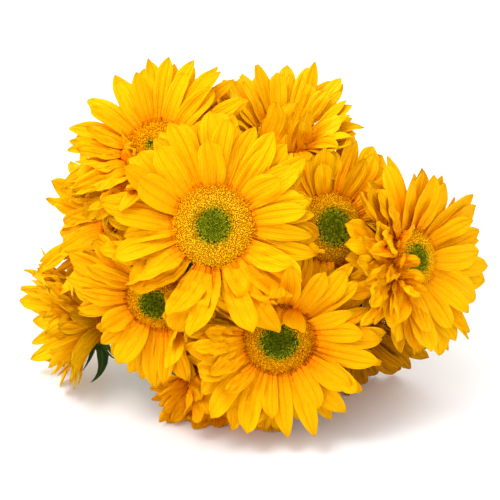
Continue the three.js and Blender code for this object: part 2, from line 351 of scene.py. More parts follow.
def blade_finish(name, color, roughness, veins, depth, **plain):
    """A petal or leaf: veins run from its root to its tip, and its sheen is uneven."""
    finish = Finish(name, color, roughness, **plain)
    along, across, number = finish.own("blade")
    grain = finish.noise(900)
    lines = (across * veins + along * 2 + number * 6 + grain * 1.6).sine().maths("ABSOLUTE")
    finish.relief(lines + grain * 0.6, depth)
    finish.rough(grain * 0.25 + (roughness - 0.12))
    return finish.material


# Tones, from the deepest to the palest, but the first of the florets is for the young ones
RAY_TONES = [
    "b84400", "e47200", "f28800", "f89a00", "f9a400", "f9ab00", "f9b100", "fab700", "fabd02",
    "fbc306", "fcca10",
]
# Darker, browner tones for a head that lies in shade: painted shade on all its rays
PAINTED_SHADE_TONES = [
    "7e4600", "8c5000", "9c5c00", "ac6800", "b87400", "c27e00", "cc8800", "d49000", "da9800"]
FLORET_TONES = ["c4a40c", "b26a04", "e49600", "f8aa00", "ffbc00", "ffc80a", "ffd420"]
BUD_TONES = ["403a0c", "4c5a0a", "66740c", "8a9012", "a8a81e"]
BRACT_TONES = ["2f4716", "41601f", "59782b", "7f9446"]


def made_finishes():
    finishes = {}
    for kind, tones in (("ray", RAY_TONES), ("painted_shade", PAINTED_SHADE_TONES)):
        for place, tone in enumerate(tones):
            finishes[f"{kind}_{place}"] = blade_finish(
                f"{kind} petal {place}", tone, 0.65, 12, 0.0003, Specular_IOR_Level=0.03)
    for place, tone in enumerate(BRACT_TONES):
        finishes[f"bract_{place}"] = blade_finish(
            f"bract {place}", tone, 0.65, 16, 0.0002, Specular_IOR_Level=0.12)
    for kind, tones in (("floret", FLORET_TONES), ("bud", BUD_TONES)):
        for place, tone in enumerate(tones):
            finish = Finish(f"{kind} {place}", tone, 0.7, Specular_IOR_Level=0.0)
            finish.relief(finish.noise(4000), 0.0001)
            finishes[f"{kind}_{place}"] = finish.material
    base = Finish("disc bed", "c06a03", 0.8, Specular_IOR_Level=0.0)
    base.mixed(base.noise(1500), "9c4402", "d87804")
    base.relief(base.noise(2500), 0.0004)
    finishes["bed"] = base.material
    young = Finish("bed under the buds", "424e08", 0.8, Specular_IOR_Level=0.0)
    young.relief(young.noise(2500), 0.0004)
    finishes["young_bed"] = young.material
    cup = Finish("calyx", "4d6b24", 0.7, Specular_IOR_Level=0.15)
    cup.mixed(cup.noise(260), "3c5618", "62782c")
    cup.relief(cup.noise(1400), 0.0004)
    finishes["calyx"] = cup.material
    stem = Finish("stem", "6f8f3c", 0.6, Specular_IOR_Level=0.15)
    stem.mixed(stem.noise(110), "5f7a26", "90a648")
    stem.relief(stem.noise(1800), 0.0003)
    finishes["stem"] = stem.material
    pith = Finish("stem pith", "d9dcae", 0.75)
    pith.relief(pith.noise(3000), 0.0004)
    finishes["pith"] = pith.material
    hair = Finish("bristle", "c9d3a4", 0.6)
    hair.relief(hair.noise(5000), 0.00005)
    finishes["bristle"] = hair.material
    return finishes


FINISHES = made_finishes()


# Joined pieces from arrays
def piece_from(name, corners, faces, tones, finishes, slot, *nodes):
    """One mesh object that replaces the nodes, with a finish for each face by its tone."""
    mesh = bpy.data.meshes.new(name)
    mesh.from_pydata(corners.tolist(), [], faces)
    for finish in finishes:
        mesh.materials.append(FINISHES[finish])
    mesh.polygons.foreach_set("material_index", np.asarray(tones, dtype=np.int32))
    mesh.update()
    piece = bpy.data.objects.new(name, mesh)
    bpy.context.scene.collection.objects.link(piece)
    dressed(piece, slot, *nodes)
    return piece


def dressed(piece, slot, *nodes):
    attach(piece, "root")
    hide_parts(*nodes)


def smoothed(piece, angle):
    bpy.ops.object.select_all(action="DESELECT")
    piece.select_set(True)
    bpy.context.view_layer.objects.active = piece
    bpy.ops.object.shade_smooth_by_angle(angle=math.radians(angle))


# Blades: rays and bracts
def half_width(blade, along):
    """Half a blade's width at shares of its length."""
    belly, foot = blade["belly"], blade["foot"]
    rising = foot + (1 - foot) * np.sin(np.pi / 2 * np.clip(along / belly, 0, 1))
    past = np.clip((along - belly) / (1 - belly), 0, 1)
    return blade["width"] / 2 * rising * (1 - (1 - blade["blunt"]) * past ** blade["taper"])


def blade_surface(blade, along, across, matrix):
    """The middle surface of a blade, a row of points for each station along it, and the directions
    from it to the blade's upper face."""
    halfway = (along[1:] + along[:-1]) / 2
    steps = blade["length"] * np.diff(along)
    angle = blade["pitch"] + blade["curl"] * halfway + blade["hook"] * halfway ** 3
    out = blade["root"] + np.concatenate(([0], np.cumsum(steps * np.cos(angle))))
    high = blade["height"] + np.concatenate(([0], np.cumsum(steps * np.sin(angle))))
    angle = blade["pitch"] + blade["curl"] * along + blade["hook"] * along ** 3
    aside = blade["bend"] * blade["length"] * along ** 2
    middle = np.stack([out, aside, high], axis=1)
    upward = np.stack([-np.sin(angle), np.zeros_like(angle), np.cos(angle)], axis=1)
    turn = (blade["roll"] + blade["twist"] * along)[:, None]
    sideways = np.array([0, 1, 0]) * np.cos(turn) + upward * np.sin(turn)
    upward = upward * np.cos(turn) - np.array([0, 1, 0]) * np.sin(turn)
    half = half_width(blade, along)[:, None]
    fade = np.sqrt(np.sin(np.pi * np.clip(along, 0, 1)).clip(0))[:, None]
    lift = blade["channel"] * half * (across ** 2 - 0.33)
    lift = lift + blade["groove"] * fade * (np.abs(np.cos(1.5 * np.pi * across)) - 0.5)
    waving = 2 * np.pi * blade["waves"] * along[:, None] + blade["phase"] + 1.7 * np.sign(across)
    lift = lift + blade["ruffle"] * half * fade * across ** 2 * np.sin(waving)
    for size, length, breadth, phase in blade["creases"]:
        turns = length * along[:, None] + breadth * across
        lift = lift + size * fade * np.sin(2 * np.pi * turns + phase)
    spread = half * across
    points = middle[:, None] + sideways[:, None] * spread[..., None]
    points = points + upward[:, None] * lift[..., None]
    forward = np.stack([np.cos(angle), np.zeros_like(angle), np.sin(angle)], axis=1)
    toward_tip = np.clip((along - 0.75) / 0.25, 0, 1)[:, None] ** 2
    rounding = blade["notch"] * np.abs(across) - across ** 2
    slide = blade["width"] / 2 * blade["blunt"] * toward_tip * rounding
    points = points + forward[:, None] * slide[..., None]
    frame_turn = np.array(matrix @ Matrix.Rotation(blade["azimuth"], 4, "Z"))
    points = points @ frame_turn[:3, :3].T + frame_turn[:3, 3]
    upward = upward @ frame_turn[:3, :3].T
    lowest = points[..., 2].min(axis=1) - blade["thick"]
    points[..., 2] += np.maximum(0, -lowest)[:, None]
    return points, upward


def grid_faces(rows, columns):
    first = (np.arange(rows)[:, None] * (columns + 1) + np.arange(columns)).reshape(-1)
    return np.stack([first, first + columns + 1, first + columns + 2, first + 1], axis=1)


def shell_faces(rows, columns):
    """Faces of a closed thin shell: the upper face, then the lower, which shares its rim."""
    upper = grid_faces(rows, columns)
    index = np.arange((rows + 1) * (columns + 1)).reshape(rows + 1, columns + 1)
    lower = index.copy()
    inner = np.arange((rows - 1) * (columns - 1)).reshape(rows - 1, columns - 1)
    lower[1:-1, 1:-1] = index.size + inner
    return np.concatenate([upper, lower.reshape(-1)[upper][:, ::-1]])


def blade_shell(blade, matrix, rows, across):
    """Corners of the closed shell, and each corner's place along and across."""
    along = 1 - (1 - np.linspace(0, 1, rows + 1)) ** 1.35
    points, upward = blade_surface(blade, along, across, matrix)
    round_off = np.sqrt(1 - across ** 2)[None, :] * np.sqrt(np.sin(np.pi * along).clip(0))[:, None]
    off = upward[:, None] * (blade["thick"] / 2 * round_off)[..., None]
    top = (points + off).reshape(-1, 3)
    under = (points - off)[1:-1, 1:-1].reshape(-1, 3)
    place = np.stack(np.meshgrid(along, across, indexing="ij"), axis=-1)
    places = np.concatenate([place.reshape(-1, 2), place[1:-1, 1:-1].reshape(-1, 2)])
    return np.concatenate([top, under]), places


def joined_blades(name, head, blades, matrix, rows, across, tone_of, finishes, slot, *nodes):
    """All the blades of one kind on a head as one piece, with its own map and places along each."""
    faces = shell_faces(rows, len(across) - 1)
    corners, places, tones = [], [], []
    for blade in blades:
        shell, place = blade_shell(blade, matrix, rows, across)
        corners.append(shell)
        places.append(np.column_stack([place, np.full(len(place), blade["number"])]))
        middle = place[faces].mean(axis=1)
        tones.append(np.clip(np.rint(tone_of(head, blade, middle)), 0, len(finishes) - 1))
    count = len(corners[0])
    all_faces = np.concatenate([faces + count * place for place in range(len(blades))]).tolist()
    piece = piece_from(
        name, np.concatenate(corners), all_faces, np.concatenate(tones), finishes, slot, *nodes)
    own = piece.data.attributes.new("blade", "FLOAT_VECTOR", "POINT")
    own.data.foreach_set("vector", np.concatenate(places).astype(np.float32).ravel())
    add_own_map(piece, np.concatenate(places), len(blades), len(faces))
    smoothed(piece, 50)


def add_own_map(piece, places, blades, faces):
    """A map with a cell for each blade, whose halves are for its upper and lower face."""
    cells = math.ceil(math.sqrt(blades))
    corners = np.empty(len(piece.data.loops), dtype=np.int32)
    piece.data.loops.foreach_get("vertex_index", corners)
    face = np.arange(len(corners)) // 4
    blade, is_under = face // faces, (face % faces) >= faces // 2
    along, across = places[corners, 0], places[corners, 1]
    u = (blade % cells + 0.02 + 0.46 * (across + 1) / 2 + 0.5 * is_under) / cells
    v = (blade // cells + 0.02 + 0.96 * along) / cells
    layer = piece.data.uv_layers.new(name="OFBake")
    layer.data.foreach_set("uv", np.stack([u, v], axis=1).astype(np.float32).ravel())


class Crowd:
    """What new blades keep clear of: each head's solids and the blades that it already has."""

    def __init__(self):
        self.solids = []

    def add(self, owner, corners, faces):
        self.solids.append((owner, BVHTree.FromPolygons(corners, faces)))

    def touches(self, owner, tree):
        return sum(len(solid.overlap(tree)) for other, solid in self.solids if other != owner)

    def crossings(self, owner, tree):
        return sum(len(solid.overlap(tree)) for other, solid in self.solids if other == owner)


COARSE = (np.linspace(0.08, 1, 7), np.linspace(-0.9, 0.9, 3))
COARSE_FACES = grid_faces(6, 2)


def coarse_corners(blade, matrix):
    points, _ = blade_surface(blade, *COARSE, matrix)
    return points.reshape(-1, 3).tolist()


def coarse_tree(blade, matrix):
    return BVHTree.FromPolygons(coarse_corners(blade, matrix), COARSE_FACES.tolist())


def blade_that_fits(drawn, matrix, crowd, owner):
    """Of the shapes drawn for one blade, the one that crosses its own head's blades least, at the
    first lean and length that keep it clear of the other heads, or else at the best of them, or
    None where all of them touch too much."""
    trees = [coarse_tree(blade, matrix) for blade in drawn]
    crossings = [crowd.crossings(owner, tree) for tree in trees]
    blade = drawn[crossings.index(min(crossings))]
    best, least = None, TOO_MANY
    for share in LENGTH_TRIES:
        for lean in LEAN_TRIES:
            tried = dict(blade, length=blade["length"] * share)
            tried["pitch"] = blade["pitch"] + math.radians(lean)
            tried["curl"] = blade["curl"] + math.radians(max(0, lean - LEANING) * LEAN_CURL)
            touches = crowd.touches(owner, coarse_tree(tried, matrix))
            if touches == 0:
                return tried
            if touches < least:
                best, least = tried, touches
    return best


def degrees_from(side, azimuth):
    """How many degrees an azimuth lies past a side."""
    return (math.degrees(azimuth) - side + 180) % 360 - 180


def evened(head, azimuth):
    """The share of their length that a head's rays have at an azimuth."""
    share = 1
    for side, spread, there in head["uneven"]:
        share *= 1 + (there - 1) * math.exp(-(degrees_from(side, azimuth) / spread) ** 2)
    return share


def in_gap(head, azimuth):
    """Whether a ray would grow where the head has lost some."""
    return any(abs(degrees_from(side, azimuth)) < spread for side, spread in head.get("gaps", ()))


def one_ray(number, head, place, azimuth, lean, reach, height):
    """The shape of one ray, looser on the head's limp side."""
    draw = head["draw"]
    vary = draw.uniform(-1, 1, 18)
    size = head["reach"] / FULL_REACH * head["broad"]
    root = head["disc"] * RAY_ROOT
    limp = max(0, math.cos(azimuth - math.radians(head["limp"])))
    loose = 1 + head.get("slack", USUAL_SLACK) * limp
    creases = [
        (0.0005 * loose * draw.uniform(0.3, 1), draw.uniform(0.3, 1.6) * loose,
         draw.uniform(-1.1, 1.1), draw.uniform(0, 6))
        for _ in range(3)
    ]
    return dict(
        azimuth=azimuth + 0.07 * vary[0],
        root=root,
        height=height,
        length=(head["reach"] - root) * reach * evened(head, azimuth) * (1.02 + 0.12 * vary[1]),
        width=RAY_WIDTH * size * (0.95 + 0.24 * vary[2]),
        thick=RAY_THICK,
        pitch=math.radians(head["cup"] + lean - head.get("sag", 0) * (loose - 1) + 8 * vary[3]),
        curl=math.radians(-12 + 18 * loose * vary[4]),
        hook=math.radians(-4 + 34 * loose * vary[5] ** 3),
        roll=math.radians(11 + 8 * vary[6]),
        twist=math.radians(-6 + 26 * loose * vary[7] * abs(vary[7])),
        bend=0.13 * loose * vary[8],
        channel=0.2 + 0.3 * vary[9] * abs(vary[9]),
        groove=0.0009 * (1 + 0.5 * vary[10]),
        ruffle=0.08 + 0.06 * vary[11],
        waves=1.4 + 0.6 * vary[10],
        phase=3 * vary[11],
        creases=creases,
        belly=0.5 + 0.10 * vary[12],
        taper=3.5 + 1.3 * vary[13],
        foot=0.6 + 0.1 * vary[14],
        blunt=0.2 + 0.15 * vary[16],
        notch=max(0, 1.9 * vary[17] - 0.5),
        number=number + 0.01 * place,
        # the head's painted light and shade, with a random tone of the ray's own
        tone_and_painted_light=head["tone_and_painted_light"] + 0.8 * vary[15],
        # how much painted shade the root corners of this ray take
        root_shade=max(0, 7 * vary[9] - 1.5),
    )


def drawn_ray(number, head, place, azimuth, lean, reach, height):
    return [one_ray(number, head, place, azimuth, lean, reach, height) for _ in range(RAY_DRAWS)]


def folded_ray(drawn, lean, breadth, tone_and_painted_light):
    """The same shapes as a ray that leans over the disc and curls back at its tip."""
    return [
        dict(blade, curl=blade["curl"] + math.radians(0.35 * max(0, lean - 45)),
             twist=1.5 * blade["twist"], hook=blade["hook"] - math.radians(0.3 * lean),
             root=blade["root"] * 1.03, foot=0.45, width=blade["width"] * breadth,
             tone_and_painted_light=blade["tone_and_painted_light"] + tone_and_painted_light)
        for blade in drawn
    ]


def rays_of(number, head):
    """The shapes drawn for each ray of a head, from the front layer to the back."""
    rays = []
    draw = head["draw"]
    for side, spread, count, lean, reach, breadth, tone_and_painted_light in head["folds"]:
        for index in range(count):
            turn = side + spread * ((2 * index + 1) / count - 1) + draw.uniform(-6, 6)
            azimuth = math.radians(turn)
            drawn = drawn_ray(
                number, head, len(rays), azimuth, lean * draw.uniform(0.8, 1.15),
                reach * draw.uniform(0.85, 1.15), FOLD_HEIGHT)
            rays.append(folded_ray(drawn, lean, breadth, tone_and_painted_light))
    for layer, (share, lean, reach, height) in enumerate(RAY_LAYERS):
        count = round(head["rays"] * share)
        for index in range(count):
            azimuth = 2 * math.pi * (index + draw.uniform(-0.3, 0.3)) / count + 2.4 * layer
            drawn = drawn_ray(number, head, len(rays), azimuth, lean, reach, height)
            if not in_gap(head, azimuth):
                rays.append(drawn)
    return rays


def ray_tone(head, blade, middle):
    """Orange at the root, partly the ray's own colour and partly painted shade near the disc, with
    painted shade in the root corners of some rays, next to their neighbours; golden along the blade
    and lemon at the tip, with painted shade in thin lines along the grooves."""
    along, across = middle[:, 0], middle[:, 1]
    draw = head["draw"]
    # darker by the ray's own tone and the head's painted shade, paler where the head has painted
    # light
    rising = 1 + 3.8 * (1 - np.exp(-5 * along)) + 2.2 * along - blade["tone_and_painted_light"]
    # painted shade in thin lines along each ray's grooves
    groove_shade = 0.45 - 2.2 * np.exp(-((np.abs(across) - 0.33) / 0.06) ** 2)
    # painted shade in the root corners of some rays, next to their neighbours
    corners = blade["root_shade"] * np.exp(-(along / 0.09) ** 2) * np.abs(across) ** 3
    return rising + groove_shade - corners + draw.uniform(-0.35, 0.35, len(along)) + 0.4


def bracts_of(number, head):
    bracts = []
    draw = head["draw"]
    for count, root, height, pitch, length in BRACT_LAYERS:
        for index in range(count):
            vary = draw.uniform(-1, 1, 8)
            bracts.append(dict(
                azimuth=2 * math.pi * (index + 0.3 * vary[0]) / count + root,
                root=head["disc"] * root,
                height=height,
                length=length * (1 + 0.16 * vary[1]),
                width=BRACT_WIDTH * (1 + 0.12 * vary[2]),
                thick=BRACT_THICK,
                pitch=math.radians(pitch + 8 * vary[3]),
                curl=math.radians(-34 + 22 * vary[4]),
                hook=math.radians(30 * vary[5]),
                roll=0,
                twist=math.radians(20 * vary[6]),
                bend=0.12 * vary[7],
                channel=0.3,
                groove=0.0004,
                ruffle=0.06,
                waves=1.5,
                phase=2 * vary[2],
                creases=[],
                blunt=0.03,
                notch=0,
                belly=0.28,
                taper=0.75,
                foot=0.8,
                number=number + 0.01 * len(bracts),
                tone_and_painted_light=0.6 * vary[6],
            ))
    for values in HANGING:
        hanging = dict(zip(HANGING_KEYS, values))
        if number == hanging.pop("head"):
            hanging["root"] *= head["disc"]
            for angle in ("azimuth", "pitch", "curl", "roll"):
                hanging[angle] = math.radians(hanging[angle])
            # the hanging bracts are darkened as painted shade
            plain = dict(bracts[0], hook=0.2, twist=0.4, bend=0.08, belly=0.4, tone_and_painted_light=1.6)
            bracts.append({**plain, **hanging})
    return bracts


def bract_tone(head, blade, middle):
    along, across = middle[:, 0], middle[:, 1]
    rib = 1.4 * np.exp(-(across / 0.25) ** 2)
    return 0.9 + 0.8 * along + rib - blade["tone_and_painted_light"] + head["draw"].uniform(-0.3, 0.3, len(along))


# Florets, buds and bristles: small shapes scattered in arrays
def ring_faces(rings, sides):
    """Faces from each ring of corners to the next."""
    return [
        [ring * sides + side, ring * sides + (side + 1) % sides,
         (ring + 1) * sides + (side + 1) % sides, (ring + 1) * sides + side]
        for ring in range(rings - 1) for side in range(sides)
    ]


def prism(rings, sides):
    """A closed little shape from rings of (offset, height, radius)."""
    turns = 2 * np.pi * np.arange(sides) / sides
    corners = [
        (offset + radius * math.cos(turn), radius * math.sin(turn), height)
        for offset, height, radius in rings for turn in turns
    ]
    last = (len(rings) - 1) * sides
    caps = [list(range(sides))[::-1], list(range(last, last + sides))]
    return np.array(corners), ring_faces(len(rings), sides) + caps


def scattered(name, shape, places, normals, turns, sizes, tones, finishes, slot, *nodes):
    """Copies of a small shape as one piece: where each stands, its normal, turn, size and tone."""
    corners, faces = shape
    helper = np.where(np.abs(normals[:, :1]) < 0.8, [[1.0, 0, 0]], [[0, 1.0, 0]])
    east = np.cross(helper, normals)
    east /= np.linalg.norm(east, axis=1, keepdims=True)
    north = np.cross(normals, east)
    first = east * np.cos(turns)[:, None] + north * np.sin(turns)[:, None]
    second = np.cross(normals, first)
    axes = np.stack([first, second, normals], axis=1)
    points = places[:, None] + np.einsum("ck,nkd->ncd", corners, axes) * sizes[:, None, None]
    offsets = np.arange(len(places)) * len(corners)
    all_faces = [[corner + offset for corner in face] for offset in offsets for face in faces]
    all_tones = np.repeat(tones, len(faces))
    piece = piece_from(name, points.reshape(-1, 3), all_faces, all_tones, finishes, slot, *nodes)
    smoothed(piece, 40)


FLORET = prism([(0, 0, 0.38), (0.1, 0.85, 0.42), (0.8, 1.0, 0.24)], 3)
BUD = prism([(0, 0, 0.5), (0, 0.5, 0.46), (0.05, 0.95, 0.16)], 5)
BRISTLE = prism([(0, 0, 0.1), (0.25, 1, 0.02)], 3)


def dome_height(share):
    """Height of the disc's bed at a share of its radius, before its florets."""
    return DISC_RISE * (1 - share ** 3.4 - 0.22 * np.exp(-(share / 0.34) ** 2)) - 0.0010


def dome_places(head, pitch, low, high):
    """Places on the disc's bed in a golden spiral, from one share of its radius to another."""
    draw = head["draw"]
    count = int(math.pi * head["disc"] ** 2 / (PACKED * pitch ** 2))
    index = np.arange(count)
    share = np.sqrt((index + 0.5) / count)
    turn = index * GOLDEN_ANGLE
    ragged = share + draw.normal(0, RAGGED, count)
    kept = (ragged > low) & (ragged <= high)
    share, turn = share[kept], turn[kept]
    slope = (dome_height(share + 0.01) - dome_height(share - 0.01)) / (0.02 * head["disc"])
    radius = share * head["disc"]
    places = np.stack([radius * np.cos(turn), radius * np.sin(turn), dome_height(share)], axis=1)
    normals = np.stack([-slope * np.cos(turn), -slope * np.sin(turn), np.ones_like(turn)], axis=1)
    return places, normals / np.linalg.norm(normals, axis=1, keepdims=True), share


def in_row_frame(matrix, places, normals):
    turn = np.array(matrix)
    return places @ turn[:3, :3].T + turn[:3, 3], normals @ turn[:3, :3].T


def add_disc(number, head, matrix):
    node = f"bloom_{label(number)}"
    draw = head["draw"]
    places, normals, share = dome_places(head, FLORET_PITCH, head["eye"], 1.0)
    normals = normals + draw.normal(0, FLORET_LEAN, normals.shape)
    normals /= np.linalg.norm(normals, axis=1, keepdims=True)
    count = len(places)
    # the head's painted light and shade carries into its florets, with their browning, which is
    # partly painted shade
    ripe_and_painted_light = 0.6 * head["tone_and_painted_light"] + head.get("ripe_and_painted_light", 0)
    tones = np.clip(np.rint(4.9 - ripe_and_painted_light - 3 * share ** 8 + draw.normal(0, 0.9, count)), 1, 6)
    young = draw.uniform(0, 1, count) < 1 - (share - head["eye"]) / YOUNG_REACH
    tones = np.where(young, 0, tones)
    sizes = FLORET_SIZE * (1 - 0.13 * share ** 2) * draw.uniform(0.78, 1.18, count)
    places, normals = in_row_frame(matrix, places, normals)
    scattered(
        f"florets_{label(number)}", FLORET, places, normals, draw.uniform(0, 2 * np.pi, count),
        sizes, tones, [f"floret_{tone}" for tone in range(len(FLORET_TONES))],
        "disc_ring", node)
    places, normals, share = dome_places(head, BUD_PITCH, -1, head["eye"])
    count = len(places)
    brightness = 2.45 - 0.4 * ripe_and_painted_light + 1.2 * (share / head["eye"]) ** 3
    tones = np.clip(np.rint(brightness + draw.normal(0, 0.7, count)), 0, 4)
    places, normals = in_row_frame(matrix, places, normals)
    scattered(
        f"buds_{label(number)}", BUD, places, normals, draw.uniform(0, 2 * np.pi, count),
        BUD_SIZE * draw.uniform(0.9, 1.25, count), tones,
        [f"bud_{tone}" for tone in range(len(BUD_TONES))], "disc_center", node)


# Solid pieces, shaped from primitives
def start_piece(name):
    piece = bpy.context.object
    piece.name = name
    piece.data.name = name
    return piece


def shaped(steps):
    """Runs the steps on the active piece in edit mode."""
    bpy.ops.object.mode_set(mode="EDIT")
    steps()
    bpy.ops.mesh.select_all(action="SELECT")
    bpy.ops.mesh.remove_doubles(threshold=1e-6)
    bpy.ops.mesh.normals_make_consistent(inside=False)
    bpy.ops.object.mode_set(mode="OBJECT")


def select_top(piece):
    """Selects only the face that looks up and lies highest."""
    bpy.ops.mesh.select_mode(type="FACE")
    bpy.ops.mesh.select_all(action="DESELECT")
    bpy.ops.object.mode_set(mode="OBJECT")
    top = max(piece.data.polygons, key=lambda face: (round(face.center.z, 6), face.area))
    top.select = True
    bpy.ops.object.mode_set(mode="EDIT")


def placed(piece, matrix):
    piece.data.transform(Matrix(matrix) @ piece.matrix_basis)
    piece.matrix_basis = Matrix.Identity(4)
    piece.data.update()


def add_disc_bed(number, head, matrix):
    """The domed bed that the florets stand on, inset ring by ring from a short drum."""
    bpy.ops.object.select_all(action="DESELECT")
    radius = head["disc"] * 0.97
    bottom = -DISC_DEPTH
    edge = float(dome_height(1.0))
    bpy.ops.mesh.primitive_cylinder_add(
        vertices=48, radius=radius, depth=edge - bottom, location=(0, 0, (edge + bottom) / 2))
    piece = start_piece(f"disc_bed_{label(number)}")
    shares = [1.0, 0.92, 0.82, 0.7, 0.56, 0.42, 0.28, 0.14]

    def steps():
        select_top(piece)
        for outer, inner in zip(shares, shares[1:]):
            rise = float(dome_height(inner) - dome_height(outer))
            bpy.ops.mesh.inset(thickness=radius * (outer - inner), depth=rise)

    shaped(steps)
    for face in piece.data.polygons:
        in_bud = face.center.xy.length < radius * (head["eye"] + YOUNG_BED)
        face.material_index = int(in_bud and face.center.z > 0)
    placed(piece, matrix)
    piece.data.materials.append(FINISHES["bed"])
    piece.data.materials.append(FINISHES["young_bed"])
    smoothed(piece, 45)
    dressed(piece, "disc_ring", f"bloom_{label(number)}")


def calyx_radius(head, share):
    """The cup's radius at a share of its height, from the neck to the lip."""
    lip = head["disc"] + CALYX_LIP
    return NECK_RADIUS + (lip - NECK_RADIUS) * share ** 0.76


def add_calyx_cup(number, head, matrix):
    """The green cup under the disc, drawn up ring by ring from the neck."""
    bpy.ops.object.select_all(action="DESELECT")
    bpy.ops.mesh.primitive_circle_add(
        vertices=40, radius=NECK_RADIUS, fill_type="NGON", location=(0, 0, CALYX_FOOT))
    piece = start_piece(f"calyx_cup_{label(number)}")
    shares = [0, 0.08, 0.18, 0.3, 0.44, 0.58, 0.72, 0.86, 0.96, 1.0]

    def steps():
        bpy.ops.mesh.select_all(action="SELECT")
        for low, high in zip(shares, shares[1:]):
            bpy.ops.mesh.extrude_region_move(
                TRANSFORM_OT_translate={"value": (0, 0, (high - low) * CALYX_DEPTH)})
            growth = calyx_radius(head, high) / calyx_radius(head, low)
            bpy.ops.transform.resize(value=(growth, growth, 1), center_override=(0, 0, 0))

    shaped(steps)
    placed(piece, matrix)
    piece.data.materials.append(FINISHES["calyx"])
    smoothed(piece, 40)
    dressed(piece, "calyx", f"calyx_{label(number)}")


# Stems
def stem_path(number, head, matrix):
    """The four control points of the stem's bend, and its cut end."""
    x, z = stem_slot(head)
    top = CALYX_FOOT - CLEAR
    shift = Vector((CENTER.x, CENTER.y, 0))
    neck = matrix @ Vector((0, 0, top))
    below = matrix @ Vector((0, 0, top - NECK_PULL * head["faces"][2]))
    before = Vector((x * FAN, BUNDLE_START - BUNDLE_PULL, z * FAN + BUNDLE_LIFT)) + shift
    gathered = Vector((x, BUNDLE_START, z)) + shift
    cut = Vector((x, STEM_END + CUT_STAGGER * wobble(number, CUT_SEED), z)) + shift
    return neck, below, before, gathered, cut


def bend_point(path, share):
    """The place and direction at a share of the stem's bend."""
    neck, below, before, gathered, _ = path
    rest = 1 - share
    place = neck * rest ** 3 + below * (3 * rest ** 2 * share) + before * (3 * rest * share ** 2)
    place = place + gathered * share ** 3
    way = (below - neck) * rest ** 2 + (before - below) * (2 * rest * share)
    way = way + (gathered - before) * share ** 2
    return place, way.normalized()


def add_stalk():
    """A straight ribbed stalk, a metre long on +X, that each stem is a bent copy of."""
    bpy.ops.object.select_all(action="DESELECT")
    bpy.ops.mesh.primitive_circle_add(
        vertices=24, radius=STEM_RADIUS, fill_type="NGON", rotation=(0, math.pi / 2, 0))
    bpy.ops.object.transform_apply(rotation=True)
    piece = start_piece("stalk")
    bpy.ops.object.mode_set(mode="EDIT")
    bpy.ops.mesh.select_mode(type="VERT")
    bpy.ops.object.mode_set(mode="OBJECT")
    for vertex in piece.data.vertices:
        vertex.select = vertex.index % 2 == 0
    bpy.ops.object.mode_set(mode="EDIT")
    bpy.ops.transform.resize(value=(0.89, 0.89, 0.89), center_override=(0, 0, 0))
    bpy.ops.mesh.select_all(action="SELECT")
    for _ in range(STALK_PARTS):
        bpy.ops.mesh.extrude_region_move(TRANSFORM_OT_translate={"value": (1 / STALK_PARTS, 0, 0)})
    bpy.ops.mesh.inset(thickness=STEM_RADIUS * 0.14, depth=0)
    bpy.ops.mesh.inset(thickness=STEM_RADIUS * 0.1, depth=-0.0004)
    bpy.ops.mesh.select_all(action="SELECT")
    bpy.ops.mesh.normals_make_consistent(inside=False)
    bpy.ops.object.mode_set(mode="OBJECT")
    piece.data.materials.append(FINISHES["stem"])
    piece.data.materials.append(FINISHES["pith"])
    for face in piece.data.polygons:
        corners = [piece.data.vertices[corner].co for corner in face.vertices]
        inner = all(corner.yz.length < STEM_RADIUS * 0.87 for corner in corners)
        face.material_index = int(inner and face.center.x > 0.99)
    return piece


def add_stem(number, head, matrix, stalk):
    neck, below, before, gathered, cut = stem_path(number, head, matrix)
    bpy.ops.object.select_all(action="DESELECT")
    bpy.ops.curve.primitive_bezier_curve_add()
    guide = bpy.context.object
    spline = guide.data.splines[0]
    spline.bezier_points.add(1)
    for point, place, before_it, after_it in zip(
        spline.bezier_points,
        (neck, gathered, cut),
        (neck.lerp(below, -0.3), before, gathered.lerp(cut, 0.6)),
        (below, gathered.lerp(cut, 0.3), cut.lerp(gathered, -0.3)),
    ):
        point.handle_left_type = point.handle_right_type = "FREE"
        point.co, point.handle_left, point.handle_right = place, before_it, after_it
    guide.data.resolution_u = 24
    guide.location = (0, 0, 0)
    piece = stalk.copy()
    piece.data = stalk.data.copy()
    piece.name = piece.data.name = f"stem_mesh_{label(number)}"
    bpy.context.scene.collection.objects.link(piece)
    piece.data.transform(Matrix.Scale(spline.calc_length(), 4, (1, 0, 0)))
    relief = bpy.data.textures.new("stem relief", "CLOUDS")
    relief.noise_scale = 0.006
    bumps = piece.modifiers.new("Relief", "DISPLACE")
    bumps.texture = relief
    bumps.strength = 0.0006
    bumps.mid_level = 0.6
    bent = piece.modifiers.new("Bend", "CURVE")
    bent.object = guide
    bpy.ops.object.select_all(action="DESELECT")
    piece.select_set(True)
    bpy.context.view_layer.objects.active = piece
    for modifier in [one.name for one in piece.modifiers]:
        bpy.ops.object.modifier_apply(modifier=modifier)
    bpy.data.objects.remove(guide)
    smoothed(piece, 60)
    dressed(piece, "stem", f"stem_{label(number)}")


